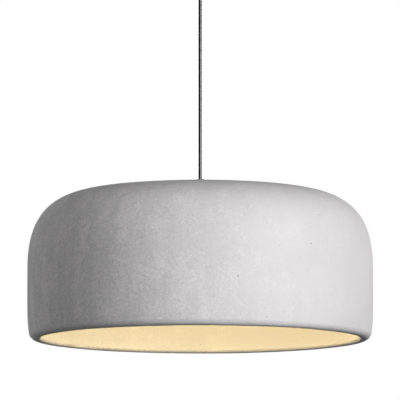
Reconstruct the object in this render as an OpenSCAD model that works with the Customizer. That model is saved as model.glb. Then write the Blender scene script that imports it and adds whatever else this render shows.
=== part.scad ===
// Pendant ceiling light: a wide cast-concrete shade hung from a ceiling canopy by one taut flex.
// +Z is up. The origin is the middle of the ceiling plate's upper face, which lies on the ceiling.

/* [Shade] */
// Widest diameter of the concrete shade
shade_d = 500; // [420:5:640]
// Height of the shade from rim to crown
shade_h = 220; // [180:5:300]
// Height above the rim where the shade is widest
belly_h = 95; // [80:1:115]
// How square the shoulder is across the shade
shoulder_n = 5.6; // [4:0.1:7]
// How square the shoulder is up the shade
shoulder_m = 2.6; // [2:0.1:3.4]
// How far the wall draws in from the belly to the rim
rim_draw = 5; // [0:0.5:8]
// Radius of the rim's outer edge
rim_round = 10.5; // [6:0.5:12]
// Radius of the rim's inner edge
lip_round = 5; // [1:0.5:5]
// How far the mouth's edge lies inside the belly
mouth_set = 21; // [20:1:30]
// Wall thickness at the belly
wall_t = 15; // [12:1:24]
// Thickness of the crown
crown_t = 13; // [11:1:30]

/* [Flex] */
// Diameter of the flex
flex_d = 5; // [4:0.5:6]
// Gap between pieces that move on each other
joint_gap = 0.3; // [0.2:0.05:0.4]
// How far the flex's lower end sits inside the gland
flex_seat = 6; // [4:0.5:7]

/* [Canopy] */
// Diameter of the canopy cup
cup_d = 110; // [100:1:150]
// Height of the canopy cup
cup_h = 34; // [32:1:60]
// Wall of the canopy cup
cup_wall = 1.5; // [1:0.1:2.5]
// Radius of the cup's lower edge
cup_round = 6; // [3:0.5:10]
// Gap between the ceiling plate and the cup
plate_gap = 1.2; // [1:0.1:2]
// Thickness of the ceiling plate
plate_t = 2; // [1.5:0.5:3]
// Distance between the two ceiling screw slots
slot_span = 70; // [60:1:74]
// Length of each slot, end to end
slot_l = 16; // [8:1:18]
// Width of each slot
slot_w = 5.2; // [4:0.1:6]
// Diameter of the hole for the supply cable
entry_d = 14; // [10:1:18]
// Length of the canopy's cord grip below the cup
grip_l = 22; // [20:1:40]

/* [Gland and fixings] */
// Diameter of the gland on the crown
gland_d = 13; // [12.5:0.5:18]
// Height of the gland
gland_h = 10; // [9:0.5:20]
// Diameter of the washer on the crown
washer_d = 32; // [20:1:60]
// Thickness of the washer on the crown
washer_t = 1.5; // [1:0.5:4]
// Thickness of the rubber gasket on the crown
top_gasket_t = 1; // [1:0.5:4]
// Diameter of the steel support plate under the crown
support_d = 70; // [50:1:120]
// Thickness of the support plate
support_t = 3; // [2:0.5:5]
// Thickness of the rubber gasket under the crown
low_gasket_t = 2; // [1:0.5:4]
// Outer diameter of the threaded nipple
nipple_d = 10; // [9.5:0.5:12]
// Bore of the threaded nipple
nipple_bore = 7; // [6.6:0.1:7.4]

/* [Lampholder] */
// Diameter of the lampholder
holder_d = 40; // [38:1:50]
// Wall of the lampholder
holder_wall = 2.4; // [1.6:0.1:3]
// Height of the lampholder's domed cap
cap_h = 24; // [22:1:30]
// Height of the ceramic insert
insert_h = 8; // [7:0.5:12]
// Length of the threaded shell
shell_l = 21; // [19:0.5:24]
// Pitch of the lamp thread
thread_pitch = 3.62; // [3.6:0.01:3.64]

/* [Bulb] */
// Diameter of the bulb
bulb_d = 60; // [56:1:80]
// Length of the bulb from contact to crown
bulb_l = 106; // [104:1:120]
// Length of the bulb's threaded cap
bulb_thread_l = 17; // [15:0.5:18]
// Thickness of the bulb's glass
glass_t = 1; // [0.6:0.1:1.5]

/* [Hidden] */

// The flex hangs straight down; its points are measured from its upper end.
flex_route = [[0, 0, 0], [0, 0, -15], [0, 0, -30], [0, 0, -45], [0, 0, -60], [0, 0, -75],
    [0, 0, -90], [0, 0, -105], [0, 0, -120], [0, 0, -135], [0, 0, -150], [0, 0, -165],
    [0, 0, -180], [0, 0, -195], [0, 0, -210], [0, 0, -225], [0, 0, -240], [0, 0, -255],
    [0, 0, -270]];

big = 120;      // facets round a large piece
small = 32;     // facets round a small piece
fit = 0.05;     // radial gap of a screw or a pin in its hole
seam = 0.1;     // gap between pieces that only lie beside each other
edge = 0.4;     // broken edge on a turned piece
through = 1;    // how far a cutting shape runs past the face it cuts

// Heights, from the ceiling down
cup_z = -cup_h;
grip_z = cup_z - grip_l;
pivot_in = 4;
pivot_z = grip_z + pivot_in;
flex_r = flex_d / 2;
flex_z = pivot_z - flex_r - joint_gap;
flex_end_z = flex_z + flex_route[len(flex_route) - 1].z;
gland_z = flex_end_z + flex_seat;
gland_low_z = gland_z - gland_h;
gasket_z = gland_low_z - washer_t;
crown_z = gasket_z - top_gasket_t;
rim_z = crown_z - shade_h;
under_z = crown_z - crown_t;
support_z = under_z - low_gasket_t;
lock_t = 1.5;
lock_z = support_z - support_t;
nut_t = 5;
nut_z = lock_z - lock_t;
holder_space = 2.5;
holder_z = nut_z - nut_t - holder_space;

// Canopy
cup_r = cup_d / 2;
cup_in = cup_r - cup_wall;
ear_t = 2;
ear_w = 14;
ear_l = 12;
ear_gap = 0.3;
ear_root = 5;
ear_y = sqrt(pow(cup_in, 2) - pow(ear_w / 2, 2)) - ear_gap;
plate_r = cup_in - plate_gap - ear_t;
side_screw_z = -plate_t - ear_l / 2;
m4 = 2;         // radius of an M4 screw
m3 = 1.5;       // radius of an M3 screw
m25 = 1.25;     // radius of an M2.5 screw
entry_in = 13;
entry_y = plate_r - entry_d / 2 - entry_in;
tail_up = 10;
tail_z = cup_z + tail_up;
side_screw_play = 0.25;
side_head_r = 4;
side_head_h = 2.4;
side_screw_past = 1.5;

// Strand clamp under the middle of the plate
clamp_w = 9;
clamp_h = 10;
strand_r = 0.5;
strand_in = 5;
strand_low_z = -plate_t - clamp_h;
clamp_screw_z = -plate_t - clamp_h / 2 - m3;
clamp_screw_out = 0.6;

// Terminal block
block_x = 14;
block_w = 17;
block_l = 26;
block_h = 13;
pole_pitch = 8;
pole_drop = 7;
pole_z = -plate_t - pole_drop;
tube_r = 2.3;
tube_bore = 1.6;
wire_r = 0.9;
wire_lift = 0.6;
wire_gap = 0.2;
block_z = -plate_t - block_h;
block_seat_z = pole_z - tube_r - wire_gap;
block_head_r = 2.2;
block_head_h = 1.6;
notch_w = 1.2;
notch_h = 2.5;
pole_hole = 0.3;
pole_screw_low = 0.5;
poles = [-1, 0, 1];
pole_screws = [4.5, 12.5];
earth_x = -24;
lug_r = 4;
lug_t = 0.8;
lug_tail = 9;
earth_head_r = 3.8;
earth_head_h = 2.6;

// Cord grip
grip_top_r = 8;
grip_low_r = 6.3;
grip_bore = flex_r + joint_gap;
grip_mouth = 5.4;
grip_collar = 3;
grip_step = 0.8;
grip_thread_r = 5;
grip_thread_l = 7.5;
grip_nut_t = 3.5;
grip_nut_r = 8.1;
grip_screw_drop = 6;
grip_screw_z = cup_z - grip_screw_drop;
grip_screw_in = 0.6;

// Gland and nipple
nipple_r = nipple_d / 2;
nipple_in = 3.4;
nipple_z = gland_low_z + nipple_in;
nipple_below = 7;
nipple_end_z = holder_z - nipple_below;
sleeve_r = 4.2;
gland_lid = 1.2;
gland_round = 1.2;
gland_screw_drop = 3.6;
gland_screw_z = gland_z - gland_screw_drop;
gland_screw_in = 0.4;
hole_play = 0.5;
hole_r = nipple_r + hole_play;
core_ring = 2.1;        // how far the three wires stand from the middle where the flex is thin
wire_ring = max(core_ring, flex_r + joint_gap - wire_r - fit);
sleeve_bore = max(flex_r + joint_gap, wire_ring + wire_r + fit);
hex_l = 4;
hex_out = 1;
top_gasket_r = washer_d / 2 + 1;
low_gasket_r = support_d / 2 + 1.5;
seat_past = 3;          // how far a flat seat cast in the crown reaches past what sits on it
soft_edge = 0.2;        // broken edge on a gasket or a sleeve
lock_r = 9;
nut_r = 9.8;
stop_r = 4.4;
stop_t = 3;
strand_past = 0.6;
wire_low = 4.5;

// Lampholder
holder_r = holder_d / 2;
holder_in = holder_r - holder_wall;
boss_r = 8;
boss_h = 9;
boss_out = 4;
cap_straight = 2;
cap_z = holder_z - cap_h;
insert_drop = 2;
insert_z = cap_z - insert_drop;
shell_drop = 3;
shell_z = insert_z - insert_h - shell_drop;
skirt_past = 2;
skirt_end_z = shell_z - shell_l - skirt_past;
post_w = 6;
post_h = 4.4;
post_screw_z = insert_z + 2.3;
post_screw_l = 2.8;
terminal_top = insert_z + post_h + seam;
terminal_r = 10.5;
thread_mid = 12.6;      // mean radius of the bulb's thread
thread_a = 0.55;        // half the depth of the thread
thread_gap = 0.45;      // radial gap between the two threads
shell_mid = thread_mid + thread_gap;
shell_wall = 0.6;
shell_r = shell_mid + thread_a + shell_wall;
contact_t = 0.6;
contact_drop = 2;

// Bulb, from its contact down
bulb_z = insert_z - insert_h - contact_drop - joint_gap;
tip_h = 2;
tip_r = 4.6;
insulator_h = 5;
thread_z = bulb_z - tip_h - insulator_h;
flare_h = 3;
flare_step = 1.2;
flare_in = 0.6;
flare_z = thread_z - bulb_thread_l;
collar_z = flare_z - flare_h;
collar_h = 19;
glass_z = collar_z - collar_h;
bulb_r = bulb_d / 2;
ball_z = bulb_z - bulb_l + bulb_r;
neck_r = 23.5;
cap_inner = 11.5;
flare_r = 13.6;
collar_top_r = 14.4;
collar_skin = 1.8;
board_t = 1.4;
chip = 3.5;
chip_t = 0.8;
chip_ring = 12;

// Points of a quarter ellipse from [cr + rr, cz] towards [cr, cz + rz]
function quarter(cr, cz, rr, rz, n) = [for (i = [0 : n])
    let (a = 90 * i / n) [cr + rr * cos(a), cz + rz * sin(a)]];

function flip(pts) = [for (i = [len(pts) - 1 : -1 : 0]) pts[i]];

// Half outline of the shade's shoulder above the belly, from the crown outwards
function shoulder(r, top, steps) = [for (i = [2 : steps]) let (a = 90 * i / steps)
    [r * pow(sin(a), 2 / shoulder_n), belly_h + (top - belly_h) * pow(cos(a), 2 / shoulder_m)]];

// Radius of the wall below the belly at height z
function wall(r, draw, z) = r - draw * pow((belly_h - z) / belly_h, 6.4);

function lower_wall(r, draw, low, steps) = [for (i = [1 : steps])
    let (z = belly_h + (low - belly_h) * i / steps) [wall(r, draw, z), z]];

// A list of points moved across by r and up by z, with their heights turned over
function hung(pts, r, z) = [for (p = pts) [p.x + r, z - p.y]];

function unit(v) = v / norm(v);

// Smooth curve through control points
function spline_at(p, i, t) = let (n = len(p), a = p[max(i - 1, 0)], b = p[i], c = p[min(i + 1, n - 1)],
    d = p[min(i + 2, n - 1)])
    0.5 * (2 * b + (c - a) * t + (2 * a - 5 * b + 4 * c - d) * t * t + (3 * b - a - 3 * c + d) * t * t * t);

function spline(p, steps) = concat(
    [for (i = [0 : len(p) - 2], k = [0 : steps - 1]) spline_at(p, i, k / steps)],
    [p[len(p) - 1]]);

// A round tube along points, as one closed solid; side is a direction that the points never run along
module swept_tube(pts, r, sides, side = [0, 1, 0]) {
    n = len(pts);
    rings = [for (i = [0 : n - 1])
        let (t = unit(pts[min(i + 1, n - 1)] - pts[max(i - 1, 0)]), u = unit(cross(t, side)), w = cross(t, u))
        for (k = [0 : sides - 1]) pts[i] + r * (cos(360 * k / sides) * u + sin(360 * k / sides) * w)];
    walls = [for (i = [0 : n - 2], k = [0 : sides - 1])
        let (a = i * sides + k, b = i * sides + (k + 1) % sides)
        each [[a, b, b + sides], [a, b + sides, a + sides]]];
    ends = [[for (k = [sides - 1 : -1 : 0]) k], [for (k = [0 : sides - 1]) (n - 1) * sides + k]];
    polyhedron(points = rings, faces = concat(walls, ends), convexity = 4);
}

// A shell between a knuckle-threaded wall and a plain wall. The thread keeps one phase for both of its
// users, and fades towards the fade_r radius at each end so that it runs in and out freely. The wall goes
// on below the thread through the [radius, z] pairs of tail.
module threaded_shell(z_top, length, mid, fade_r, plain_r, thread_out, tail = []) {
    sides = 32;
    steps = round(length / thread_pitch * 8);
    low_z = len(tail) > 0 ? tail[len(tail) - 1][1] : z_top - length;
    thread = [for (i = [0 : steps])
        let (z = z_top - length * i / steps, fade = min(1, min(i, steps - i) / 4))
        for (k = [0 : sides - 1])
            let (a = 360 * k / sides, r = mid + thread_a * cos(360 * z / thread_pitch - a))
            [cos(a), sin(a), 0] * (fade_r + (r - fade_r) * fade) + [0, 0, z]];
    plain = [for (p = concat(tail, [[plain_r, low_z], [plain_r, z_top]]), k = [0 : sides - 1])
        [p[0] * cos(360 * k / sides), p[0] * sin(360 * k / sides), p[1]]];
    count = steps + 3 + len(tail);
    quads = [for (i = [0 : count - 1], k = [0 : sides - 1])
        let (j = (i + 1) % count, m = (k + 1) % sides)
        [i * sides + k, i * sides + m, j * sides + m, j * sides + k]];
    faces = [for (q = quads) each thread_out ? [[q[0], q[1], q[2]], [q[0], q[2], q[3]]]
        : [[q[0], q[2], q[1]], [q[0], q[3], q[2]]]];
    polyhedron(points = concat(thread, plain), faces = faces, convexity = 6);
}

// A turned ring hanging down from z, with broken outer edges
module ring(z, h, r_out, r_in, broken = edge) {
    rotate_extrude($fn = big)
        polygon([[r_in, z], [r_out - broken, z], [r_out, z - broken], [r_out, z - h + broken],
            [r_out - broken, z - h], [r_in, z - h]]);
}

// A turned bar hanging down from z
module bar(z, h, r) {
    translate([0, 0, z - h]) cylinder(h = h, r = r, $fn = small);
}

// A screw pointing along +Z from the origin: shank, domed head below, and its slot
module dome_screw(r, shank, head_r, head_h) {
    difference() {
        union() {
            cylinder(h = shank, r = r - fit, $fn = small);
            rotate_extrude($fn = small)
                polygon(concat([[0, 0]], hung(quarter(0, 0, head_r, head_h, 8), 0, 0)));
        }
        translate([-head_r, -0.5, -head_h - through]) cube([2 * head_r, 1, through + head_h * 0.4]);
    }
}

// A headless screw along +Z with a hexagon socket in its lower end
module set_screw(r, length) {
    difference() {
        cylinder(h = length, r = r - fit, $fn = small);
        translate([0, 0, -through]) cylinder(h = through + r, r = r * 0.55, $fn = 6);
    }
}

module ceiling_plate() {
    color([0.72, 0.73, 0.75]) difference() {
        union() {
            translate([0, 0, -plate_t]) cylinder(h = plate_t, r = plate_r, $fn = big);
            for (s = [-1, 1]) {
                translate([-ear_w / 2, s > 0 ? plate_r - ear_root : -ear_y, -plate_t])
                    cube([ear_w, ear_y - plate_r + ear_root, plate_t]);
                translate([-ear_w / 2, s > 0 ? ear_y - ear_t : -ear_y, -plate_t - ear_l])
                    cube([ear_w, ear_t, ear_l + plate_t / 2]);
            }
        }
        for (s = [-1, 1]) {
            slot(s * slot_span / 2);
            translate([0, s * ear_y, side_screw_z]) rotate([90, 0, 0])
                cylinder(h = 4 * ear_t, r = m4, center = true, $fn = small);
        }
        plate_hole(0, entry_y, entry_d / 2);
        plate_hole(earth_x, 0, m4);
        plate_hole(block_x + block_w / 2, pole_pitch / 2, m25);
    }
}

module plate_hole(x, y, r) {
    translate([x, y, -plate_t - through]) cylinder(h = plate_t + 2 * through, r = r, $fn = small);
}

module slot(x) {
    reach = (slot_l - slot_w) / 2;
    for (s = [-1, 1])
        plate_hole(x + s * reach, 0, slot_w / 2);
    translate([x - reach, -slot_w / 2, -plate_t - through])
        cube([2 * reach, slot_w, plate_t + 2 * through]);
}

module canopy_cup() {
    inner_round = cup_round - cup_wall;
    bend_r = cup_r - cup_round;
    bend_z = cup_z + cup_round;
    color([0.07, 0.07, 0.075]) difference() {
        rotate_extrude($fn = big)
            polygon(concat([[cup_in, 0], [cup_r, 0]],
                hung(quarter(0, 0, cup_round, cup_round, 8), bend_r, bend_z),
                [[grip_thread_r + fit, cup_z], [grip_thread_r + fit, cup_z + cup_wall]],
                flip(hung(quarter(0, 0, inner_round, inner_round, 8), bend_r, bend_z))));
        for (s = [-1, 1])
            translate([0, s * cup_r, side_screw_z]) rotate([90, 0, 0])
                cylinder(h = 6 * cup_wall, r = m4 + side_screw_play, center = true, $fn = small);
    }
}

module canopy_screws() {
    color([0.1, 0.1, 0.1])
        for (a = [0, 180]) rotate([0, 0, a])
            translate([0, -cup_r, side_screw_z]) rotate([-90, 0, 0])
                dome_screw(m4, cup_r - ear_y + ear_t + side_screw_past, side_head_r, side_head_h);
}

module strand_clamp() {
    color([0.75, 0.7, 0.5]) difference() {
        translate([-clamp_w / 2, -clamp_w / 2, strand_low_z]) cube([clamp_w, clamp_w, clamp_h]);
        bar(strand_low_z + strand_in + seam, strand_in + through, strand_r + fit);
        translate([0, 0, clamp_screw_z]) rotate([90, 0, 0]) cylinder(h = clamp_w, r = m3, $fn = small);
    }
}

module clamp_screw() {
    color([0.6, 0.6, 0.62])
        translate([0, -clamp_w / 2 - clamp_screw_out, clamp_screw_z]) rotate([-90, 0, 0])
            set_screw(m3, clamp_w / 2 + clamp_screw_out - strand_r - fit);
}

module terminal_block() {
    color([0.9, 0.9, 0.86]) difference() {
        translate([block_x, -block_l / 2, block_z]) cube([block_w, block_l, block_h]);
        for (i = poles) {
            translate([block_x - through, i * pole_pitch, pole_z]) rotate([0, 90, 0])
                cylinder(h = block_w + 2 * through, r = tube_r + fit, $fn = small);
            for (x = pole_screws)
                translate([block_x + x, i * pole_pitch, block_z - through])
                    cylinder(h = pole_z - block_z + through, r = m3 + pole_hole, $fn = small);
        }
        for (i = [-0.5, 0.5])
            translate([block_x - through, i * pole_pitch - notch_w / 2, block_z - through])
                cube([block_w + 2 * through, notch_w, notch_h + through]);
        translate([block_x + block_w / 2, pole_pitch / 2, 0]) {
            bar(-plate_t + through, block_h + 2 * through, m25 + fit);
            bar(block_seat_z, block_seat_z - block_z + through, block_head_r + fit);
        }
    }
}

module terminal_tubes() {
    color([0.85, 0.7, 0.35])
        for (i = poles)
            translate([block_x + 1, i * pole_pitch, pole_z]) difference() {
                rotate([0, 90, 0]) cylinder(h = block_w - 2, r = tube_r, $fn = small);
                translate([-through, 0, 0]) rotate([0, 90, 0])
                    cylinder(h = block_w, r = tube_bore, $fn = small);
                for (x = pole_screws)
                    translate([x - 1, 0, -tube_r - through])
                        cylinder(h = tube_r + through, r = m3, $fn = small);
            }
}

module terminal_screws() {
    top_z = pole_z + wire_lift - wire_r - wire_gap;
    color([0.65, 0.65, 0.68])
        for (i = poles, x = pole_screws)
            translate([block_x + x, i * pole_pitch, block_z + pole_screw_low])
                set_screw(m3, top_z - block_z - pole_screw_low);
}

module block_screw() {
    color([0.65, 0.65, 0.68])
        translate([block_x + block_w / 2, pole_pitch / 2, block_seat_z])
            dome_screw(m25, -block_seat_z - wire_gap, block_head_r, block_head_h);
}

module earth_lug() {
    color([0.8, 0.72, 0.45]) difference() {
        union() {
            translate([earth_x, 0, 0]) bar(-plate_t, lug_t, lug_r);
            translate([earth_x, -wire_r - edge, -plate_t - lug_t])
                cube([lug_tail, 2 * (wire_r + edge), lug_t]);
        }
        translate([earth_x, 0, 0]) bar(-plate_t + through, lug_t + 2 * through, m4 + seam);
    }
}

module earth_screw() {
    color([0.85, 0.7, 0.35])
        translate([earth_x, 0, -plate_t - lug_t])
            dome_screw(m4, plate_t + lug_t - wire_gap, earth_head_r, earth_head_h);
}

module supply_strand() {
    top_z = strand_low_z + strand_in;
    color([0.7, 0.7, 0.72]) bar(top_z, top_z - tail_z, strand_r);
}

// A wire from the stripped flex to one pole of the terminal block
module canopy_wire(pole, start_angle) {
    start_z = tail_z + wire_gap;
    end_z = pole_z + wire_lift;
    y = pole * pole_pitch;
    out = wire_ring * [cos(start_angle), sin(start_angle), 0];
    up = [0, 0, start_z];
    swept_tube(spline([0.75 * out + up, 0.9 * out + up + [0, 0, 2.3],
        [6.2, 0.55 * y, (start_z + end_z) / 2 + 1], [10.5, 0.95 * y, end_z - 0.6],
        [block_x, y, end_z], [block_x + block_w / 2, y, end_z]], 4), wire_r, 8);
}

module canopy_wire_live() {
    color([0.45, 0.25, 0.12]) canopy_wire(-1, -60);
}

module canopy_wire_neutral() {
    color([0.15, 0.3, 0.7]) canopy_wire(1, 60);
}

module canopy_wire_earth() {
    start_z = tail_z + wire_gap;
    end_z = -plate_t - lug_t - wire_r - seam;
    end_x = earth_x + lug_tail;
    color([0.45, 0.6, 0.15])
        swept_tube(spline([[-0.75 * wire_ring, 0, start_z], [-0.85 * wire_ring, 0, start_z + 2.3],
            [-6.5, 0, (start_z + end_z) / 2 - 2], [-11, 0, end_z - 3], [end_x + 2.5, 0, end_z - 0.2],
            [end_x - 2.5, 0, end_z]], 4), wire_r, 8);
}

module cord_grip() {
    color([0.8, 0.68, 0.42]) difference() {
        rotate_extrude($fn = big)
            polygon([[grip_bore, cup_z + grip_thread_l], [grip_thread_r - edge, cup_z + grip_thread_l],
                [grip_thread_r, cup_z + grip_thread_l - edge], [grip_thread_r, cup_z],
                [grip_top_r - edge, cup_z], [grip_top_r, cup_z - edge], [grip_top_r, cup_z - grip_collar],
                [grip_top_r - grip_step, cup_z - grip_collar - grip_step], [grip_low_r, grip_z + 2 * edge],
                [grip_low_r - 2 * edge, grip_z], [grip_mouth, grip_z],
                [grip_bore + joint_gap, grip_z + pivot_in + 1], [grip_bore, grip_z + pivot_in + 3]]);
        translate([0, 0, grip_screw_z]) rotate([0, 90, 0])
            cylinder(h = grip_top_r + through, r = m3, $fn = small);
    }
}

module grip_nut() {
    color([0.7, 0.7, 0.72]) difference() {
        translate([0, 0, cup_z + cup_wall]) cylinder(h = grip_nut_t, r = grip_nut_r, $fn = 6);
        bar(cup_h, 2 * cup_h, grip_thread_r + fit);
    }
}

module grip_screw() {
    color([0.35, 0.35, 0.36])
        translate([grip_top_r - grip_screw_in, 0, grip_screw_z]) rotate([0, -90, 0])
            set_screw(m3, grip_top_r - grip_screw_in - flex_r - fit);
}

module flex_tail() {
    color([0.05, 0.05, 0.05]) bar(tail_z, tail_z - pivot_z - flex_r - joint_gap, flex_r);
}

module flex_bend() {
    color([0.05, 0.05, 0.05]) translate([0, 0, pivot_z]) sphere(r = flex_r, $fn = small);
}

module flex() {
    color([0.05, 0.05, 0.05]) translate([0, 0, flex_z]) swept_tube(flex_route, flex_r, 12);
}

module gland_body() {
    barrel_r = gland_d / 2;
    color([0.74, 0.68, 0.55]) difference() {
        union() {
            translate([0, 0, gland_low_z]) cylinder(h = hex_l, r = barrel_r + hex_out, $fn = 6);
            rotate_extrude($fn = big)
                polygon(concat([[0, gland_low_z + hex_l / 2], [barrel_r, gland_low_z + hex_l / 2]],
                    quarter(barrel_r - gland_round, gland_z - gland_round, gland_round, gland_round, 6),
                    [[0, gland_z]]));
        }
        bar(gland_z + through, gland_h + 2 * through, flex_r + joint_gap);
        bar(gland_z - gland_lid, gland_h, sleeve_r);
        bar(nipple_z, nipple_in + through, nipple_r + fit);
        translate([0, 0, gland_screw_z]) rotate([0, 90, 0]) cylinder(h = gland_d, r = m25, $fn = small);
    }
}

module gland_sleeve() {
    color([0.9, 0.9, 0.88]) ring(gland_z - gland_lid - seam, gland_z - gland_lid - 2 * seam - nipple_z,
        sleeve_r - fit, sleeve_bore, soft_edge);
}

module gland_screw() {
    color([0.35, 0.35, 0.36])
        translate([gland_d / 2 - gland_screw_in, 0, gland_screw_z]) rotate([0, -90, 0])
            set_screw(m25, gland_d / 2 - gland_screw_in - sleeve_r - fit);
}

module top_washer() {
    color([0.7, 0.69, 0.66]) ring(gland_low_z, washer_t, washer_d / 2, hole_r);
}

module top_gasket() {
    color([0.08, 0.08, 0.08]) ring(gasket_z, top_gasket_t, top_gasket_r, hole_r, soft_edge);
}

// One casting, with a flat seat for each gasket round the hole in the crown
module shade() {
    outer_r = shade_d / 2;
    inner_r = outer_r - wall_t;
    mouth_r = outer_r - mouth_set;
    rim_r = wall(outer_r, rim_draw, rim_round);
    inner_draw = inner_r - mouth_r;
    ceiling_h = shade_h - crown_t;
    outside = concat([[hole_r, shade_h], [top_gasket_r + seat_past, shade_h]],
        shoulder(outer_r, shade_h, 34), lower_wall(outer_r, rim_draw, rim_round, 8));
    rim = [for (p = hung(quarter(0, 0, rim_round, rim_round, 9), rim_r - rim_round, rim_round))
        if (p.y < rim_round) p];
    lip = [for (p = flip(quarter(0, 0, lip_round, lip_round, 5)))
        [mouth_r + lip_round - p.x, lip_round - p.y]];
    inside = concat(flip(lower_wall(inner_r, inner_draw, 1.5 * lip_round, 5)),
        flip(shoulder(inner_r, ceiling_h, 26)), [[low_gasket_r + seat_past, ceiling_h], [hole_r, ceiling_h]]);
    color([0.56, 0.54, 0.55]) translate([0, 0, rim_z])
        rotate_extrude($fn = big) polygon(concat(outside, rim, lip, inside));
}

module low_gasket() {
    color([0.08, 0.08, 0.08]) ring(under_z, low_gasket_t, low_gasket_r, hole_r, soft_edge);
}

module support_plate() {
    color([0.68, 0.68, 0.7]) ring(support_z, support_t, support_d / 2, hole_r);
}

module lock_washer() {
    color([0.6, 0.6, 0.62]) ring(lock_z, lock_t, lock_r, nipple_r + 2 * seam, soft_edge);
}

module hex_nut() {
    color([0.72, 0.7, 0.62]) difference() {
        translate([0, 0, nut_z - nut_t]) cylinder(h = nut_t, r = nut_r, $fn = 6);
        bar(nut_z + through, nut_t + 2 * through, nipple_r + fit);
    }
}

module threaded_nipple() {
    color([0.75, 0.7, 0.55]) ring(nipple_z, nipple_z - nipple_end_z, nipple_r, nipple_bore / 2);
}

// A disc on the strand's end that bears on the nipple, notched for the three wires
module strand_stop() {
    color([0.6, 0.6, 0.62]) difference() {
        bar(nipple_end_z - seam, stop_t, stop_r);
        for (a = [0, 120, 240]) rotate([0, 0, a])
            hull() for (x = [wire_ring, stop_r + 2]) translate([x, 0, 0])
                bar(nipple_end_z + through, stop_t + 3 * through, wire_r + 5 * fit);
        bar(nipple_end_z + through, stop_t + 3 * through, strand_r + fit);
    }
}

module lamp_strand() {
    top = flex_end_z - joint_gap;
    color([0.7, 0.7, 0.72]) bar(top, top - nipple_end_z + stop_t + strand_past, strand_r);
}

// A wire from the flex's lower end, down through the nipple, to a terminal on the insert
module lamp_wire(a) {
    top = flex_end_z - joint_gap;
    low = nipple_end_z - wire_low;
    way = [cos(a), sin(a), 0];
    run = wire_ring * way;
    end = terminal_r * way + [0, 0, terminal_top];
    swept_tube(spline([run + [0, 0, top], run + [0, 0, (top + low) / 2], run + [0, 0, low],
        (run + terminal_r * way) / 2 + [0, 0, low - 3], end + [0, 0, 2.5], end], 4),
        wire_r, 8, [-sin(a), cos(a), 0]);
}

module lamp_wire_live() {
    color([0.45, 0.25, 0.12]) lamp_wire(0);
}

module lamp_wire_neutral() {
    color([0.15, 0.3, 0.7]) lamp_wire(120);
}

module lamp_wire_earth() {
    color([0.45, 0.6, 0.15]) lamp_wire(240);
}

// Outline of the cap's dome from the boss out to radius r, falling from z to the cap's last straight stretch
function dome(r, z, steps) = [for (i = [0 : steps]) let (a = 90 * i / steps)
    [boss_r + (r - boss_r) * sin(a), z - (z - cap_z - cap_straight) * (1 - cos(a))]];

module holder_cap() {
    color([0.06, 0.06, 0.065]) rotate_extrude($fn = big)
        polygon(concat([[nipple_r + fit, holder_z], [boss_r - edge, holder_z], [boss_r, holder_z - edge]],
            dome(holder_r, holder_z - boss_out, 12),
            [[holder_r, cap_z + edge], [holder_r - edge, cap_z], [holder_in, cap_z]],
            flip(dome(holder_in, holder_z - boss_h, 10)),
            [[nipple_r + fit, holder_z - boss_h]]));
}

module holder_skirt() {
    lip_r = shell_r + 0.3;
    lip_h = 1.8;
    groove_h = 5;
    top_z = cap_z - seam;
    color([0.06, 0.06, 0.065]) rotate_extrude($fn = big)
        polygon([[holder_in, top_z], [holder_r - edge, top_z], [holder_r, top_z - edge],
            [holder_r, skirt_end_z + groove_h], [holder_r - 1, skirt_end_z + groove_h - 0.6],
            [holder_r - 1, skirt_end_z + 2 * edge], [holder_r - 1 - 2 * edge, skirt_end_z],
            [lip_r, skirt_end_z], [lip_r, skirt_end_z + lip_h], [holder_in, skirt_end_z + lip_h + 1.5]]);
}

module holder_insert() {
    neck_in = shell_r - 2.2;
    floor_z = insert_z - insert_h;
    well = 2.2;
    color([0.93, 0.92, 0.88]) difference() {
        rotate_extrude($fn = big)
            polygon([[0, insert_z], [holder_in - 2 * edge - seam, insert_z],
                [holder_in - seam, insert_z - 2 * edge], [holder_in - seam, floor_z],
                [shell_r + 1, floor_z], [shell_r + 1, shell_z - 4],
                [shell_r + seam, shell_z - 4], [shell_r + seam, shell_z], [neck_in, shell_z],
                [neck_in, floor_z], [0, floor_z]]);
        for (a = [0, 120, 240]) rotate([0, 0, a])
            translate([terminal_r, 0, insert_z - well])
                cylinder(h = well + through, r = m25 + 2 * seam, $fn = small);
    }
}

module holder_terminals() {
    color([0.85, 0.7, 0.35])
        for (a = [0, 120, 240]) rotate([0, 0, a]) difference() {
            translate([terminal_r - post_w / 2, -post_w / 2, insert_z + seam])
                cube([post_w, post_w, post_h - seam]);
            translate([terminal_r + 1, 0, post_screw_z]) rotate([0, 90, 0])
                cylinder(h = post_w, r = m25, $fn = small);
        }
}

module holder_screws() {
    color([0.65, 0.65, 0.68])
        for (a = [0, 120, 240]) rotate([0, 0, a])
            translate([terminal_r + post_w / 2 + 1, 0, post_screw_z]) rotate([0, -90, 0])
                set_screw(m25, post_screw_l);
}

module holder_shell() {
    color([0.85, 0.7, 0.35])
        threaded_shell(shell_z - seam, shell_l, shell_mid, shell_mid + thread_a, shell_r, false);
}

module centre_contact() {
    z = insert_z - insert_h - seam;
    spring_l = 16;
    spring_w = 5;
    dome_r = 3;
    color([0.85, 0.7, 0.35]) {
        translate([-spring_l / 2, -spring_w / 2, z - contact_t]) cube([spring_l, spring_w, contact_t]);
        rotate_extrude($fn = small)
            polygon(concat([[0, z]], hung(quarter(0, 0, dome_r, contact_drop - seam, 8), 0, z)));
    }
}

module bulb_tip() {
    tip_edge = 0.6;
    color([0.75, 0.75, 0.76]) rotate_extrude($fn = small)
        polygon(concat([[0, bulb_z - tip_h], [tip_r, bulb_z - tip_h]],
            quarter(0, bulb_z - tip_h + tip_edge, tip_r, tip_h - tip_edge, 8)));
}

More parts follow.
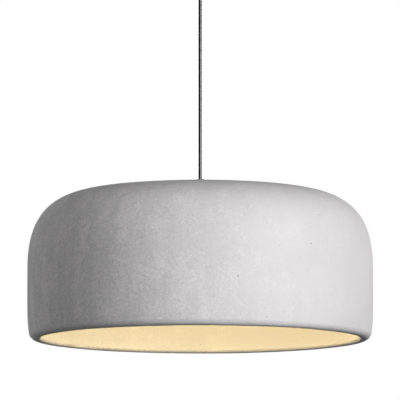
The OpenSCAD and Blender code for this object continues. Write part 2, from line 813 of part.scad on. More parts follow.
module bulb_insulator() {
    z = bulb_z - tip_h - joint_gap;
    chamfer = 0.8;
    color([0.04, 0.04, 0.05]) rotate_extrude($fn = big)
        polygon([[0, z], [tip_r + edge, z], [cap_inner - chamfer, thread_z + chamfer],
            [cap_inner - seam, thread_z], [cap_inner - seam, thread_z - 2 * chamfer],
            [0, thread_z - 2 * chamfer]]);
}

module bulb_cap() {
    color([0.8, 0.8, 0.8])
        threaded_shell(thread_z, bulb_thread_l, thread_mid, thread_mid - thread_a, cap_inner, true,
            [[flare_r - flare_in, flare_z - flare_step], [flare_r, collar_z]]);
}

// Outline of the collar from its top down to the glass, drawn in by inset
function collar_curve(inset) = [for (i = [0 : 8]) let (t = i / 8)
    [collar_top_r - inset + (neck_r - collar_top_r) * pow(sin(90 * t), 1.4),
        collar_z - seam - (collar_h - seam) * t]];

module bulb_collar() {
    roof_z = collar_z - collar_skin;
    floor_z = glass_z + 2;
    color([0.93, 0.93, 0.92]) rotate_extrude($fn = big)
        polygon(concat([[0, collar_z - seam]], collar_curve(0), [[0, glass_z], [0, floor_z],
            [neck_r - 2 * collar_skin, floor_z]],
            flip([for (p = collar_curve(collar_skin)) if (p.y < roof_z && p.y > floor_z) p]),
            [[0, roof_z]]));
}

module bulb_driver() {
    driver_l = 14;
    driver_w = 10;
    driver_in = 4;
    color([0.2, 0.45, 0.25])
        translate([-driver_l / 2, -driver_w / 2, glass_z + driver_in])
            cube([driver_l, driver_w, collar_h - 2 * driver_in]);
}

module led_board() {
    rim_gap = 1.2;
    color([0.9, 0.9, 0.9]) bar(glass_z - seam, board_t, neck_r - glass_t - rim_gap);
}

module led_chips() {
    color([0.95, 0.85, 0.4])
        for (a = [0 : 45 : 315]) rotate([0, 0, a])
            translate([chip_ring, -chip / 2, glass_z - seam - board_t - chip_t]) cube([chip, chip, chip_t]);
}

// Outline of the glass, from its neck down and round to the axis
function glass_curve(inset) = concat(
    [for (i = [0 : 9]) let (t = i / 9)
        [neck_r - inset + (bulb_r - neck_r) * sin(90 * t), glass_z - seam + (ball_z - glass_z + seam) * t]],
    [for (i = [1 : 14])
        let (a = 90 * i / 14) [(bulb_r - inset) * cos(a), ball_z - (bulb_r - inset) * sin(a)]]);

module bulb_glass() {
    color([1, 0.95, 0.85]) rotate_extrude($fn = big)
        polygon(concat(glass_curve(0), flip(glass_curve(glass_t))));
}

ceiling_plate();
canopy_cup();
canopy_screws();
strand_clamp();
clamp_screw();
terminal_block();
terminal_tubes();
terminal_screws();
block_screw();
earth_lug();
earth_screw();
supply_strand();
canopy_wire_live();
canopy_wire_neutral();
canopy_wire_earth();
cord_grip();
grip_nut();
grip_screw();
flex_tail();
flex_bend();
flex();
gland_body();
gland_sleeve();
gland_screw();
top_washer();
top_gasket();
shade();
low_gasket();
support_plate();
lock_washer();
hex_nut();
threaded_nipple();
strand_stop();
lamp_strand();
lamp_wire_live();
lamp_wire_neutral();
lamp_wire_earth();
holder_cap();
holder_skirt();
holder_insert();
holder_terminals();
holder_screws();
holder_shell();
centre_contact();
bulb_tip();
bulb_insulator();
bulb_cap();
bulb_collar();
bulb_driver();
led_board();
led_chips();
bulb_glass();
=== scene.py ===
import math
import random

import bmesh
import bpy
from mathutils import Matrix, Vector, noise


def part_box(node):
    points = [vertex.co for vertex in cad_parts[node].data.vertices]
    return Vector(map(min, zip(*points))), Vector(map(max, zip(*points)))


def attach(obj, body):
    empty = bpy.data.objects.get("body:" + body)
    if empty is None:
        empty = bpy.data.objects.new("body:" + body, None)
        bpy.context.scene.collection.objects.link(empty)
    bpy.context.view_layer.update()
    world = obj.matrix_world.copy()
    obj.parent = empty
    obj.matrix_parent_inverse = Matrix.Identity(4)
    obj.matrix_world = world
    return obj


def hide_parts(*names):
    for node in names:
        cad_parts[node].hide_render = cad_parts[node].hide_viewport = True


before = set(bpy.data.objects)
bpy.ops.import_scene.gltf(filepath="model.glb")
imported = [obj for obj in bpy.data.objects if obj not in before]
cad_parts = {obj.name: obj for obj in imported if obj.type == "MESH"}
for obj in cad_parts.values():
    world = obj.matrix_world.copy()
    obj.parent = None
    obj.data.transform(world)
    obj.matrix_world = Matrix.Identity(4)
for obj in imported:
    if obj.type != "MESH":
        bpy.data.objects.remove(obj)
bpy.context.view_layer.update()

scene = bpy.context.scene
scene.view_settings.view_transform = "Standard"

# ---------------------------------------------------------------------------------------------
# Camera
# It stands well back with a long lens, a little lower than the lamp, and looks slightly upwards
# at the shade, so that the lit inside shows as a narrow slit over the rim.

shade_low, shade_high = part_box("shade")
shade_r = (shade_high.x - shade_low.x) / 2
shade_h = shade_high.z - shade_low.z
rim_z = shade_low.z

camera_away = 16.0
camera_up_tilt = math.radians(5.685)
camera_aside = -0.0003
aim_z = rim_z + 0.20261
sensor_w = 36.0

camera_data = bpy.data.cameras.new("camera")
camera_data.sensor_width = sensor_w
camera_data.lens = 996.15
camera_data.clip_end = 60.0
camera = bpy.data.objects.new("camera", camera_data)
scene.collection.objects.link(camera)
camera.location = (
    camera_aside,
    -camera_away * math.cos(camera_up_tilt),
    aim_z - camera_away * math.sin(camera_up_tilt),
)
camera.rotation_euler = (math.pi / 2 + camera_up_tilt, 0, 0)
scene.camera = camera


# ---------------------------------------------------------------------------------------------
# Flex
# One straight length of three-core flex in a smooth black sheath with a steel strand inside,
# held in the canopy's cord grip above and in the gland below. The shade's weight keeps it taut.

flex_d = 0.005
flex_top_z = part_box("flex")[1].z
flex_steps = 18
flex_step = 0.015
flex_route = [Vector((0, 0, flex_top_z - flex_step * i)) for i in range(flex_steps + 1)]


def add(tree, kind, settings=None, **inputs):
    """A shader node; inputs are sockets or values, by the input's name or as i and its number."""
    node = tree.nodes.new("ShaderNode" + kind)
    for name, value in (settings or {}).items():
        setattr(node, name, value)
    feed(tree, node, inputs)
    return node


def feed(tree, node, inputs):
    for name, value in inputs.items():
        key = int(name[1:]) if name[1:].isdigit() else name.replace("_", " ")
        socket = node.inputs[key]
        if isinstance(value, bpy.types.NodeSocket):
            tree.links.new(value, socket)
        else:
            socket.default_value = value


def new_group(name, takes, gives):
    """An empty shader node group: takes is {input: default}, and gives is {output: socket kind}."""
    tree = bpy.data.node_groups.new(name, "ShaderNodeTree")
    for label, value in takes.items():
        kind = "NodeSocketColor" if isinstance(value, tuple) else "NodeSocketFloat"
        tree.interface.new_socket(label, in_out="INPUT", socket_type=kind).default_value = value
    for label, kind in gives.items():
        tree.interface.new_socket(label, in_out="OUTPUT", socket_type="NodeSocket" + kind)
    return tree, tree.nodes.new("NodeGroupInput"), tree.nodes.new("NodeGroupOutput")


def use(tree, group, **inputs):
    node = tree.nodes.new("ShaderNodeGroup")
    node.node_tree = group
    feed(tree, node, inputs)
    return node


def maths(tree, operation, a, b):
    return add(tree, "Math", {"operation": operation}, i0=a, i1=b).outputs[0]


def spread(tree, value, low, high, to_low, to_high):
    """Maps a value from one range to another, held at both ends."""
    return add(
        tree, "MapRange", Value=value, From_Min=low, From_Max=high, To_Min=to_low, To_Max=to_high
    ).outputs[0]


def blend_colours(tree, factor, a, b, how="MIX"):
    node = add(tree, "Mix", {"data_type": "RGBA", "blend_type": how}, i0=factor, i6=a, i7=b)
    return node.outputs[2]


def place(tree, stretch=(1.0, 1.0, 1.0)):
    """The point on the object in metres, stretched along each axis."""
    point = add(tree, "TexCoord").outputs["Object"]
    return add(tree, "Mapping", Vector=point, Scale=stretch).outputs[0]


def noise_at(tree, point, scale, detail=2.0, rough=0.5):
    return add(
        tree, "TexNoise", Vector=point, Scale=scale, Detail=detail, Roughness=rough
    ).outputs["Fac"]


# Fine grain: the small unevenness of a moulded, painted or rubber surface, as a tone that goes
# from 0 to 1 and a height for bumps. Most of the tone lies within grain_reach.
grain_reach = (0.3, 0.7)
grain_depth = 0.0001
coarse_share = 0.06
grain, grain_in, grain_out = new_group("fine_grain", {"Scale": 900.0}, {"Tone": "Float", "Height": "Float"})
grain_point = place(grain)
coarse_scale = maths(grain, "MULTIPLY", grain_in.outputs["Scale"], coarse_share)
grain_coarse = noise_at(grain, grain_point, coarse_scale, 3.0)
grain_fine = noise_at(grain, grain_point, grain_in.outputs["Scale"], 1.0)
feed(grain, grain_out, {"Tone": grain_coarse, "Height": grain_fine})


def coat(name, dark, light, rough, grain_scale, bump=0.1, **constants):
    """A painted, moulded or sheathed finish: two close tones, a roughness range and a fine grain."""
    made = bpy.data.materials.new(name)
    made.use_nodes = True
    tree = made.node_tree
    shader = tree.nodes["Principled BSDF"]
    surface = use(tree, grain, Scale=grain_scale)
    tone = surface.outputs["Tone"]
    feed(tree, shader, {
        "Base Color": blend_colours(
            tree, spread(tree, tone, *grain_reach, 0.0, 1.0), (*dark, 1), (*light, 1)),
        "Roughness": spread(tree, tone, *grain_reach, *rough),
        "Normal": add(
            tree, "Bump", Strength=bump, Distance=grain_depth, Height=surface.outputs["Height"]).outputs[0],
        **{key.replace("_", " "): value for key, value in constants.items()},
    })
    return made


def dress(finish, *nodes):
    """Gives CAD nodes their finish."""
    for name in nodes:
        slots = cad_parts[name].material_slots
        for each in slots:
            each.material = finish
        if not slots:
            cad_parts[name].data.materials.append(finish)


def link(piece):
    scene.collection.objects.link(piece)
    return piece


sheath = coat("flex_sheath", (0.008, 0.008, 0.009), (0.014, 0.0135, 0.013), (0.17, 0.22), 1400.0, 0.0)

flex_curve = bpy.data.curves.new("hanging_flex", "CURVE")
flex_curve.dimensions = "3D"
flex_curve.bevel_depth = flex_d / 2
flex_curve.bevel_resolution = 6
flex_curve.use_fill_caps = True
flex_line = flex_curve.splines.new("POLY")
flex_line.points.add(flex_steps)
for spot, at in zip(flex_line.points, flex_route):
    spot.co = (*at, 1)
flex = link(bpy.data.objects.new("hanging_flex", flex_curve))
flex_curve.materials.append(sheath)
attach(flex, "hanging_flex")
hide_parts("flex")
dress(sheath, "flex_tail", "flex_bend")


# ---------------------------------------------------------------------------------------------
# Studio
# A white cyclorama behind the lamp, large soft lights in front and to the right at the height of
# the shade, and a plain pale floor far below it that gives little light back.

floor_z = -2.2
floor_r = 12.0
floor_clear_r = 3.0
lights_away = 3.2
light_w = 1.4
light_h = 1.2
bounce_grey = (0.14, 0.14, 0.14, 1)
shade_middle = Vector((0, 0, rim_z + shade_h / 2))


def set_world(back, front, top, under):
    world = bpy.data.worlds.new("studio")
    scene.world = world
    world.use_nodes = True
    tree = world.node_tree
    tree.nodes.clear()
    way = add(tree, "SeparateXYZ", Vector=add(tree, "TexCoord").outputs["Generated"]).outputs
    behind = spread(tree, way[1], -0.3, 0.5, front, back)
    above = add(tree, "Mix", i0=spread(tree, way[2], 0.25, 0.8, 0.0, 1.0), i2=behind, i3=top).outputs[0]
    around = add(tree, "Mix", i0=spread(tree, way[2], -0.35, -0.05, 1.0, 0.0), i2=above, i3=under).outputs[0]
    room = add(tree, "Background", Color=(1, 1, 1, 1), Strength=around).outputs[0]
    paper = add(tree, "Background", Color=(1, 1, 1, 1), Strength=1.0).outputs[0]
    seen = add(tree, "LightPath").outputs["Is Camera Ray"]
    mixed = add(tree, "MixShader", i0=seen, i1=room, i2=paper).outputs[0]
    add(tree, "OutputWorld", Surface=mixed)


def soft_light(name, azimuth, elevation, power):
    """A rectangular soft light that faces the shade; azimuth 0 is the camera's side, 90 is right."""
    lamp = bpy.data.lights.new(name, "AREA")
    lamp.shape = "RECTANGLE"
    lamp.size, lamp.size_y = light_w, light_h
    lamp.energy = power
    turn, rise = math.radians(azimuth), math.radians(elevation)
    way = Vector((math.sin(turn) * math.cos(rise), -math.cos(turn) * math.cos(rise), math.sin(rise)))
    holder = link(bpy.data.objects.new(name, lamp))
    holder.location = shade_middle + way * lights_away
    holder.rotation_euler = way.to_track_quat("Z", "Y").to_euler()
    holder.visible_camera = False


set_world(back=0.12, front=0.03, top=0.05, under=0.02)
for light_name, azimuth, elevation, power in (
    ("key", 40, 5, 130.0),
    ("front", 0, 5, 28.0),
    ("overhead", 10, 70, 21.0),
    ("right_edge", 120, 5, 19.0),
    ("right_back", 150, 5, 16.0),
    ("left_edge", -120, 5, 56.0),
    ("back", 180, 5, 40.0),
):
    soft_light(light_name, azimuth, elevation, power)
for light_name in ("left_edge", "front"):
    bpy.data.objects[light_name].visible_glossy = False

floor_mesh = bpy.data.meshes.new("floor")
floor_build = bmesh.new()
bmesh.ops.create_circle(floor_build, cap_ends=True, radius=floor_r, segments=96)
floor_build.to_mesh(floor_mesh)
floor_build.free()
floor = link(bpy.data.objects.new("floor", floor_mesh))
floor.location.z = floor_z
pale = bpy.data.materials.new("pale_floor")
pale.use_nodes = True
pale_tree = pale.node_tree
pale_point = place(pale_tree)
pale_far = add(pale_tree, "VectorMath", {"operation": "LENGTH"}, i0=pale_point).outputs["Value"]
pale_near = spread(pale_tree, pale_far, floor_clear_r, floor_r - 1.0, 1.0, 0.0)
pale_seen = add(pale_tree, "LightPath").outputs["Is Camera Ray"]
pale_above = maths(pale_tree, "SUBTRACT", 1.0, add(pale_tree, "NewGeometry").outputs["Backfacing"])
pale_paint = blend_colours(
    pale_tree, noise_at(pale_tree, pale_point, 3.0), (0.78, 0.78, 0.77, 1), (0.82, 0.82, 0.81, 1))
feed(pale_tree, pale_tree.nodes["Principled BSDF"], {
    "Base Color": blend_colours(pale_tree, pale_seen, bounce_grey, pale_paint),
    "Roughness": 0.8,
    "Alpha": maths(pale_tree, "MULTIPLY", pale_near, pale_above),
})
floor_mesh.materials.append(pale)


# ---------------------------------------------------------------------------------------------
# Ceiling plate
# A pressed steel disc, bright zinc plated, with two bent ears for the cup. Under its middle a
# brass clamp holds the flex's steel strand, and a brass screw holds the earth wire's lug.

marks_depth = 0.00005
marks, marks_in, marks_out = new_group(
    "turning_marks", {"Fineness": 4000.0}, {"Tone": "Float", "Height": "Float"})
marks_point = add(marks, "SeparateXYZ", Vector=place(marks)).outputs
marks_across = add(
    marks, "VectorMath", {"operation": "LENGTH"},
    i0=add(marks, "CombineXYZ", X=marks_point[0], Y=marks_point[1]).outputs[0]).outputs["Value"]
marks_line = add(marks, "CombineXYZ", X=marks_across, Z=marks_point[2]).outputs[0]
marks_fine = noise_at(marks, marks_line, marks_in.outputs["Fineness"], 2.0)
marks_patch = noise_at(marks, place(marks), 140.0, 3.0)
feed(marks, marks_out, {
    "Tone": maths(
        marks, "ADD", maths(marks, "MULTIPLY", marks_patch, 0.6), maths(marks, "MULTIPLY", marks_fine, 0.4)),
    "Height": marks_fine,
})


def metal(name, dark, light, rough, fineness=4000.0, bump=0.12):
    """A turned or plated metal: two close tones, fine turning marks, and a shine that varies."""
    made = bpy.data.materials.new(name)
    made.use_nodes = True
    tree = made.node_tree
    surface = use(tree, marks, Fineness=fineness)
    tone = surface.outputs["Tone"]
    feed(tree, tree.nodes["Principled BSDF"], {
        "Base Color": blend_colours(tree, spread(tree, tone, 0.35, 0.65, 0.0, 1.0), (*dark, 1), (*light, 1)),
        "Roughness": spread(tree, tone, 0.3, 0.7, rough[1], rough[0]),
        "Metallic": 1.0,
        "Normal": add(
            tree, "Bump", Strength=bump, Distance=marks_depth, Height=surface.outputs["Height"]).outputs[0],
    })
    return made


zinc = metal("bright_zinc", (0.34, 0.355, 0.38), (0.47, 0.485, 0.51), (0.42, 0.56), 900.0)
brass = metal("turned_brass", (0.66, 0.47, 0.20), (0.80, 0.62, 0.31), (0.22, 0.34))
steel = metal("plain_steel", (0.50, 0.50, 0.51), (0.62, 0.62, 0.63), (0.25, 0.38))

dress(zinc, "ceiling_plate")
dress(brass, "strand_clamp", "earth_lug", "earth_screw")
dress(steel, "clamp_screw", "supply_strand")


# ---------------------------------------------------------------------------------------------
# Terminal block
# A moulded block of natural nylon with three brass tubes, two steel screws in each and one that
# holds the block to the plate. Three insulated cores reach it from the stripped end of the flex.

nylon = coat("natural_nylon", (0.72, 0.71, 0.66), (0.80, 0.79, 0.75), (0.38, 0.5), 700.0, 0.2)
brown = coat("brown_core", (0.13, 0.05, 0.022), (0.17, 0.07, 0.03), (0.34, 0.45), 1500.0)
blue = coat("blue_core", (0.02, 0.09, 0.36), (0.03, 0.12, 0.44), (0.34, 0.45), 1500.0)
earth = coat("striped_core", (0.06, 0.28, 0.03), (0.08, 0.34, 0.04), (0.34, 0.45), 1500.0)
earth_tree = earth.node_tree
earth_shader = earth_tree.nodes["Principled BSDF"]
earth_green = earth_shader.inputs["Base Color"].links[0].from_socket
stripe = add(earth_tree, "TexWave", Vector=place(earth_tree, (1, 1, 0.35)), Scale=260.0).outputs["Fac"]
feed(earth_tree, earth_shader, {"Base Color": blend_colours(
    earth_tree, spread(earth_tree, stripe, 0.62, 0.66, 0.0, 1.0), earth_green, (0.75, 0.62, 0.03, 1))})

dress(nylon, "terminal_block")
dress(brass, "terminal_tubes")
dress(steel, "terminal_screws", "block_screw")
dress(brown, "canopy_wire_live")
dress(blue, "canopy_wire_neutral")
dress(earth, "canopy_wire_earth")


# ---------------------------------------------------------------------------------------------
# Canopy cup
# A deep-drawn steel cup with a soft lower edge, powder coated matt black, which hides the plate
# and the wiring. Two blackened screws through its wall hold it to the plate's ears.

powder = coat("black_powder_coat", (0.018, 0.018, 0.019), (0.028, 0.028, 0.029), (0.46, 0.60), 1100.0, 0.35)
black_screw = coat("blackened_screw", (0.02, 0.02, 0.021), (0.035, 0.035, 0.036), (0.34, 0.5), 1500.0, 0.2)

dress(powder, "canopy_cup")
dress(black_screw, "canopy_screws")


# ---------------------------------------------------------------------------------------------
# Cord grip
# A turned collar in satin brass under the cup, held by a zinc plated nut inside it. A small
# blackened screw in its side bears on the flex, and its mouth flares so that the flex can swing.

satin_brass = metal("satin_brass", (0.31, 0.27, 0.20), (0.45, 0.40, 0.31), (0.20, 0.32))
black_oxide = metal("black_oxide", (0.05, 0.05, 0.052), (0.11, 0.11, 0.112), (0.35, 0.5))

dress(satin_brass, "cord_grip")
dress(zinc, "grip_nut")
dress(black_oxide, "grip_screw")


# ---------------------------------------------------------------------------------------------
# Gland
# A turned barrel in satin brass with a hexagon at its foot and a rounded top, where the flex ends
# in a nylon sleeve, clamped by a small screw. It stands on a wide washer over the crown.

dress(satin_brass, "gland_body", "top_washer")
dress(nylon, "gland_sleeve")
dress(black_oxide, "gland_screw")


# ---------------------------------------------------------------------------------------------
# Shade
# One piece of fair-faced concrete, cast mouth up in a smooth mould: a broad drum with rounded
# shoulders, a thick rim with a rounded outer edge, fine pores and faint clouds from the pour.

belly_z = 0.095
shoulder_across = 5.6
shoulder_up = 2.6
rim_draw = 0.005
draw_curve = 6.4
rim_round = 0.0105
lip_round = 0.005
mouth_r = shade_r - 0.021
inner_r = shade_r - 0.015
crown_under = shade_h - 0.013
hole_r = 0.0055
hole_round = 0.0008
hole_flat_r = hole_r + 0.0015
outer_seat_r = 0.020
inner_seat_r = 0.0395
shade_sides = 640
ring_step = 0.0030
inner_ring_step = 0.0065
void_count = 150
void_room_area = 4e-6
colour_swing = 0.20


def shoulder(radius, top, start_r):
    """The rounded shoulder from the crown out to the belly, as (radius, height above the rim)."""
    count = 900
    first = math.asin((start_r / radius) ** (shoulder_across / 2))
    for i in range(count + 1):
        turn = first + (math.pi / 2 - first) * i / count
        across = radius * math.sin(turn) ** (2 / shoulder_across)
        up = belly_z + (top - belly_z) * max(math.cos(turn), 0) ** (2 / shoulder_up)
        yield across, up


def lower_wall(radius, draw, low, count=160):
    """The wall below the belly, which draws in a little towards the rim."""
    for i in range(1, count + 1):
        up = belly_z + (low - belly_z) * i / count
        yield radius - draw * ((belly_z - up) / belly_z) ** draw_curve, up


def even(points, step):
    """Points spread evenly along a line of (radius, height) points, both ends kept."""
    far = [0.0]
    for a, b in zip(points, points[1:]):
        far.append(far[-1] + math.dist(a, b))
    count = max(2, round(far[-1] / step))
    spots, k = [], 0
    for i in range(count + 1):
        want = far[-1] * i / count
        while k < len(far) - 2 and far[k + 1] < want:
            k += 1
        share = (want - far[k]) / max(far[k + 1] - far[k], 1e-9)
        a, b = points[k], points[k + 1]
        spots.append((a[0] + (b[0] - a[0]) * share, a[1] + (b[1] - a[1]) * share))
    return spots


def corner(middle, radius, start, end, count):
    """Part of a circle round a (radius, height) point, between two angles in degrees."""
    for i in range(count + 1):
        turn = math.radians(start + (end - start) * i / count)
        yield middle[0] + radius * math.cos(turn), middle[1] + radius * math.sin(turn)


def turned(name, outline, sides, low_z=0.0):
    """A smooth mesh turned from a closed outline of (radius, height) points."""
    made = bpy.data.meshes.new(name)
    rounds = [(math.cos(2 * math.pi * k / sides), math.sin(2 * math.pi * k / sides)) for k in range(sides)]
    points = [(r * c, r * s, z + low_z) for r, z in outline for c, s in rounds]
    rings = len(outline)
    faces = []
    for i in range(rings):
        a, b = i * sides, (i + 1) % rings * sides
        faces += [(a + k, b + k, b + (k + 1) % sides, a + (k + 1) % sides) for k in range(sides)]
    made.from_pydata(points, [], faces)
    made.shade_smooth()
    return made


rim_outer_r = shade_r - rim_draw * ((belly_z - rim_round) / belly_z) ** draw_curve
outside = even(
    [(outer_seat_r, shade_h), *shoulder(shade_r, shade_h, outer_seat_r + 0.001),
     *lower_wall(shade_r, rim_draw, rim_round)],
    ring_step,
)
inner_wall = [*lower_wall(inner_r, inner_r - mouth_r, 1.5 * lip_round)][::-1]
ceiling_line = [*shoulder(inner_r, crown_under, inner_seat_r + 0.001)][::-1]
inside = even([*inner_wall, *ceiling_line, (inner_seat_r, crown_under)], inner_ring_step)
shade_outline = [
    *corner((hole_r + hole_round, shade_h - hole_round), hole_round, 180, 90, 4),
    *even([(hole_flat_r, shade_h), (outer_seat_r - 0.002, shade_h)], 0.006),
    *outside,
    *[*corner((rim_outer_r - rim_round, rim_round), rim_round, 0, -90, 14)][1:],
    *corner((mouth_r + lip_round, lip_round), lip_round, -90, -180, 9),
    *inside,
    *even([(inner_seat_r - 0.002, crown_under), (hole_flat_r, crown_under)], 0.008),
    *corner((hole_r + hole_round, crown_under + hole_round), hole_round, 270, 180, 4),
]
shade_mesh = turned("shade_casting", shade_outline, shade_sides, rim_z)

# The mould leaves slow waves of a few tenths of a millimetre, always towards the inside of the wall.
wave = 0.00035
ripple = 0.00010
cast_points = []
for point, outwards in [(v.co.copy(), v.normal.copy()) for v in shade_mesh.vertices]:
    slow = min(max(noise.noise(point * 9) * 0.5 + 0.5, 0), 1)
    quick = min(max(noise.noise(point * 60) * 0.5 + 0.5, 0), 1)
    cast_points.extend(point - outwards * (wave * slow + ripple * quick))
shade_mesh.vertices.foreach_set("co", cast_points)
shade_mesh.update()

# Air held against the mould leaves small open voids, a few of them big enough to see the bottom.
shade_build = bmesh.new()
shade_build.from_mesh(shade_mesh)
shade_build.faces.ensure_lookup_table()
random.seed(7)
void_room = [f.index for f in shade_build.faces if f.calc_area() > void_room_area]
voids = [shade_build.faces[i] for i in random.sample(void_room, void_count)]
for thickness, depth in ((0.0004, 0.0), (0.0002, -0.00035), (0.00025, -0.00035)):
    bmesh.ops.inset_individual(shade_build, faces=voids, thickness=thickness, depth=depth)
shade_build.to_mesh(shade_mesh)
shade_build.free()
shade_mesh.shade_smooth()

# Cast concrete, as one tone, one height and a mask of pores: slow clouds, faint streaks that ran
# down the mould, a mottle of paste and fines, speckles of sand, and round pores of mixed size.
cast, cast_in, cast_out = new_group(
    "cast_concrete",
    {"Clouds": 0.5, "Streaks": 0.5, "Mottle": 0.5, "Speckle": 0.5, "Pore Share": 0.3},
    {"Tone": "Float", "Height": "Float", "Pores": "Float"},
)


def part_of(tone, share, amount):
    """One texture, centred on nothing, times how strong it is to be."""
    centred = maths(cast, "SUBTRACT", tone, 0.5)
    return maths(cast, "MULTIPLY", maths(cast, "MULTIPLY", centred, amount), cast_in.outputs[share])


cast_point = place(cast)
clouds = noise_at(cast, cast_point, 7.0, 4.0, 0.6)
streaks = noise_at(cast, place(cast, (55.0, 55.0, 5.0)), 1.0, 3.0, 0.6)
mottle = noise_at(cast, cast_point, 130.0, 3.0, 0.65)
speckle = noise_at(cast, cast_point, 620.0, 2.0, 0.7)
patches = noise_at(cast, cast_point, 26.0, 4.0, 0.65)
sand = noise_at(cast, cast_point, 330.0, 2.0, 0.75)
# One side of the mould came out grainier than the other, in patches with ragged edges.
cast_side = add(
    cast, "VectorMath", {"operation": "DOT_PRODUCT"}, i0=cast_point, i1=(-4.0, 0.0, 0.0)).outputs["Value"]
ragged = maths(cast, "MULTIPLY", maths(cast, "SUBTRACT", patches, 0.5), 2.4)
grainy = spread(cast, maths(cast, "ADD", cast_side, ragged), -0.5, 0.8, 0.25, 2.2)
cast_tone = part_of(clouds, "Clouds", 1.2)
cast_grain = maths(cast, "ADD", part_of(mottle, "Mottle", 1.2), part_of(sand, "Speckle", 3.6))
cast_grain = maths(cast, "ADD", cast_grain, part_of(patches, "Clouds", 1.0))
cast_grain = maths(cast, "ADD", cast_grain, part_of(streaks, "Streaks", 0.9))
cast_tone = maths(cast, "ADD", cast_tone, maths(cast, "MULTIPLY", cast_grain, grainy))
pore_parts = []
for pore_scale, pore_size in ((95.0, 0.16), (240.0, 0.22)):
    cells = add(cast, "TexVoronoi", Vector=cast_point, Scale=pore_scale)
    chance = add(cast, "SeparateColor", Color=cells.outputs["Color"]).outputs
    reach = maths(cast, "MULTIPLY", chance[1], pore_size)
    inside_pore = spread(cast, maths(cast, "DIVIDE", cells.outputs["Distance"], reach), 0.6, 1.0, 1.0, 0.0)
    chosen = maths(cast, "LESS_THAN", chance[0], cast_in.outputs["Pore Share"])
    pore_parts.append(maths(cast, "MULTIPLY", inside_pore, chosen))
pores = maths(cast, "MAXIMUM", pore_parts[0], pore_parts[1])
dents = noise_at(cast, cast_point, 32.0, 3.0, 0.6)
cast_relief = maths(cast, "ADD", maths(cast, "MULTIPLY", dents, 1.6), maths(cast, "MULTIPLY", mottle, 0.9))
cast_relief = maths(cast, "ADD", cast_relief, maths(cast, "MULTIPLY", speckle, 0.9))
cast_height = maths(cast, "SUBTRACT", cast_relief, pores)
feed(cast, cast_out, {"Tone": cast_tone, "Height": cast_height, "Pores": pores})


def concrete(name, colour, pore_shade_colour, rough, strengths, bump):
    """Cast concrete in one colour, lighter and darker with its tone, with painted shade darkening its pores.
    """
    made = bpy.data.materials.new(name)
    made.use_nodes = True
    tree = made.node_tree
    surface = use(tree, cast, **strengths)
    tone = surface.outputs["Tone"]
    dark = [c * (1 - colour_swing) for c in colour]
    light = [c * (1 + colour_swing) for c in colour]
    face = blend_colours(tree, spread(tree, tone, -0.5, 0.5, 0.0, 1.0), (*dark, 1), (*light, 1))
    feed(tree, tree.nodes["Principled BSDF"], {
        # The pores are dented by the bump and also painted darker, as painted shade inside them.
        "Base Color": blend_colours(tree, surface.outputs["Pores"], face, (*pore_shade_colour, 1)),
        "Roughness": spread(tree, tone, -0.4, 0.4, rough[1], rough[0]),
        "Specular IOR Level": 0.35,
        "Normal": add(
            tree, "Bump", Strength=bump, Distance=0.0004, Height=surface.outputs["Height"]).outputs[0],
    })
    return made


face_concrete = concrete(
    "concrete_face", (0.430, 0.420, 0.427), (0.27, 0.26, 0.265), (0.62, 0.80),
    {"Clouds": 0.5, "Streaks": 0.5, "Mottle": 0.3, "Speckle": 0.3, "Pore_Share": 0.16}, 1.0,
)
back_concrete = concrete(
    "concrete_inside", (0.430, 0.420, 0.420), (0.25, 0.235, 0.22), (0.75, 0.90),
    {"Clouds": 0.25, "Streaks": 0.15, "Mottle": 0.15, "Speckle": 0.1, "Pore_Share": 0.12}, 0.35,
)
shade_mesh.materials.append(face_concrete)
shade_mesh.materials.append(back_concrete)
for face in shade_mesh.polygons:
    middle = face.center
    up = middle.z - rim_z
    outward = face.normal.x * middle.x + face.normal.y * middle.y
    on_inner_wall = outward < 0 and lip_round < up < crown_under
    on_crown_underside = face.normal.z < -0.5 and 0.1 < up < crown_under + 0.001
    if on_inner_wall or on_crown_underside:
        face.material_index = 1

shade = link(bpy.data.objects.new("shade_casting", shade_mesh))
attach(shade, "shade_unit")
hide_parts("shade")


# ---------------------------------------------------------------------------------------------
# Fixings through the crown
# A brass nipple holds the crown between two black rubber gaskets, with a zinc plated plate, a
# spring washer and a hexagon nut below. The strand's stop and the three cores run down its bore.

rubber = coat("black_rubber", (0.016, 0.016, 0.016), (0.028, 0.028, 0.027), (0.62, 0.78), 900.0, 0.4)

dress(rubber, "top_gasket", "low_gasket")
dress(zinc, "support_plate")
dress(steel, "lock_washer", "strand_stop", "lamp_strand")
dress(brass, "hex_nut", "threaded_nipple")
dress(brown, "lamp_wire_live")
dress(blue, "lamp_wire_neutral")
dress(earth, "lamp_wire_earth")


# ---------------------------------------------------------------------------------------------
# Lampholder
# A domed cap and a skirt of black moulded thermoset screwed together round a glazed porcelain
# insert, which carries the threaded shell, the centre contact and three terminals.

bakelite = coat(
    "black_thermoset", (0.014, 0.013, 0.013), (0.024, 0.022, 0.021), (0.20, 0.34), 500.0, 0.06,
    Coat_Weight=0.25, Coat_Roughness=0.12)
porcelain = coat(
    "glazed_porcelain", (0.76, 0.75, 0.71), (0.82, 0.81, 0.77), (0.16, 0.28), 260.0, 0.05,
    Coat_Weight=0.5, Coat_Roughness=0.06)
dress(bakelite, "holder_cap", "holder_skirt")
dress(porcelain, "holder_insert")
dress(brass, "holder_terminals", "holder_shell", "centre_contact")
dress(steel, "holder_screws")


# ---------------------------------------------------------------------------------------------
# Bulb
# A warm white LED bulb: nickel-plated screw cap with a black glass insulator, a white collar over
# the driver, a board with eight chips, and an opal glass dome that glows all over.

glow = (1.0, 0.80, 0.43)
glow_strength = 90.0

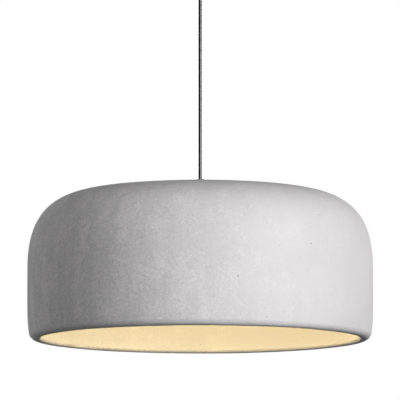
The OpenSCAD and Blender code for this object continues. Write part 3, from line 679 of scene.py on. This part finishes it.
nickel = metal("nickel_plate", (0.62, 0.60, 0.57), (0.74, 0.72, 0.69), (0.14, 0.26))
solder = metal("tinned_contact", (0.55, 0.55, 0.56), (0.70, 0.70, 0.70), (0.30, 0.45), 600.0, 0.3)
black_glass = coat("black_glass", (0.012, 0.012, 0.013), (0.018, 0.018, 0.02), (0.08, 0.16), 400.0, 0.05)
collar_white = coat("collar_white", (0.78, 0.77, 0.74), (0.83, 0.82, 0.79), (0.36, 0.48), 800.0, 0.15)
board_green = coat("board_green", (0.012, 0.10, 0.03), (0.02, 0.15, 0.05), (0.3, 0.45), 900.0, 0.2)
board_white = coat("board_white", (0.78, 0.78, 0.77), (0.84, 0.84, 0.83), (0.4, 0.55), 700.0, 0.2)
chip_yellow = coat("chip_yellow", (0.72, 0.50, 0.06), (0.80, 0.58, 0.10), (0.3, 0.4), 1200.0, 0.1)
opal_inside = coat("opal_inside", (0.80, 0.78, 0.74), (0.85, 0.83, 0.79), (0.5, 0.6), 300.0, 0.1)

glass_low, glass_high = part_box("bulb_glass")
glass_r = (glass_high.x - glass_low.x) / 2
glass_wall = 0.001
neck_r = 0.0235
neck_glow_h = 0.022
neck_steps = 30
ball_steps = 45
bulb_sides = 128
bulb_step = 0.0012
ball_z = glass_low.z + glass_r
neck_z = glass_high.z


def glass_line(inset):
    """Half of the bulb's outline, from the neck down and round to the lowest point."""
    for i in range(neck_steps + 1):
        t = i / neck_steps
        across = neck_r - inset + (glass_r - neck_r) * math.sin(math.pi / 2 * t)
        yield across, neck_z + (ball_z - neck_z) * t
    for i in range(1, ball_steps):
        turn = math.pi / 2 * i / ball_steps
        yield (glass_r - inset) * math.cos(turn), ball_z - (glass_r - inset) * math.sin(turn)
    yield 0.0002, ball_z - glass_r + inset


bulb_outside = even([*glass_line(0)], bulb_step)
bulb_inside = even([*glass_line(glass_wall)][::-1], 2 * bulb_step)
bulb_mesh = turned("bulb_glass_dome", bulb_outside + bulb_inside, bulb_sides)
opal = bpy.data.materials.new("opal_glass")
opal.use_nodes = True
opal_tree = opal.node_tree
opal_point = place(opal_tree)
opal_up = add(opal_tree, "SeparateXYZ", Vector=opal_point).outputs[2]
opal_near_neck = spread(opal_tree, opal_up, neck_z - neck_glow_h, neck_z, 0.0, 1.0)
opal_cloud = noise_at(opal_tree, opal_point, 60.0, 2.0)
opal_even = blend_colours(opal_tree, opal_cloud, (*glow, 1), (glow[0], glow[1] * 1.02, glow[2] * 1.05, 1))
feed(opal_tree, opal_tree.nodes["Principled BSDF"], {
    "Base Color": blend_colours(opal_tree, opal_cloud, (0.86, 0.84, 0.80, 1), (0.90, 0.88, 0.84, 1)),
    "Roughness": spread(opal_tree, opal_cloud, 0.3, 0.7, 0.22, 0.30),
    "Emission Color": blend_colours(
        opal_tree, opal_near_neck, opal_even, (glow[0] * 0.5, glow[1] * 0.46, glow[2] * 0.42, 1)),
    "Emission Strength": glow_strength,
})
bulb_mesh.materials.append(opal)
bulb_mesh.materials.append(opal_inside)
outer_faces = (len(bulb_outside) - 1) * bulb_sides
for face in bulb_mesh.polygons:
    face.material_index = 0 if face.index < outer_faces else 1
bulb_glass = link(bpy.data.objects.new("bulb_glass_dome", bulb_mesh))
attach(bulb_glass, "bulb")
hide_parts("bulb_glass")

dress(nickel, "bulb_cap")
dress(solder, "bulb_tip")
dress(black_glass, "bulb_insulator")
dress(collar_white, "bulb_collar")
dress(board_green, "bulb_driver")
dress(board_white, "led_board")
dress(chip_yellow, "led_chips")
